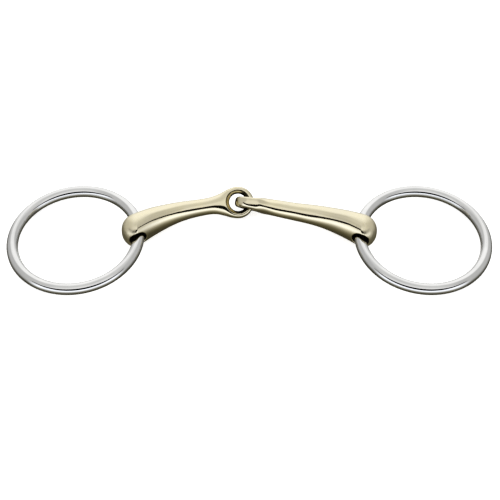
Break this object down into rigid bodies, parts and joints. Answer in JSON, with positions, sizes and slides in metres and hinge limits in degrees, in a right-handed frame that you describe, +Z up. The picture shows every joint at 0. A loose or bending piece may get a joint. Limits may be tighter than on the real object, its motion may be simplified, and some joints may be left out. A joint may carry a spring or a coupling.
{
  "type": "snaffle bit",
  "caption": "Single-jointed loose-ring snaffle bit with curved pale gold mouthpiece arms linked eye through eye, and a round steel ring running loose through each arm's outer end.",
  "frame": {"origin": "on the table under the middle of the bit, midway between the ring centres", "axes": "+X from the left ring to the right ring, +Y towards the middle joint, +Z up from the table the bit lies on"},
  "size_m": [0.294, 0.084, 0.0196],
  "materials": {
    "ring_steel": "polished stainless steel rod",
    "mouthpiece_alloy": "polished pale gold casting with a faint satin haze"
  },
  "bodies": {
    "left_arm": {"left_mouthpiece_arm": "mouthpiece_alloy"},
    "left_ring": {"left_ring": "ring_steel"},
    "right_arm": {"right_mouthpiece_arm": "mouthpiece_alloy"},
    "right_ring": {"right_ring": "ring_steel"}
  },
  "joints": [
    {"name": "centre_joint_fold", "type": "hinge", "parent": "left_arm", "child": "right_arm", "pos_m": [-0.00663, 0.0271, 0.00952], "axis": [0.0487, -0.5571, 0.829], "range_deg": [-85, 105]},
    {"name": "left_ring_swing", "type": "hinge", "parent": "left_arm", "child": "left_ring", "pos_m": [-0.06763, 0.00462, 0.00992], "axis": [-0.1215, 0.9925, -0.0089], "range_deg": [-85, 110]},
    {"name": "right_ring_swing", "type": "hinge", "parent": "right_arm", "child": "right_ring", "pos_m": [0.06763, 0.00462, 0.00992], "axis": [-0.1215, -0.9925, 0.0089], "range_deg": [-85, 110]}
  ]
}
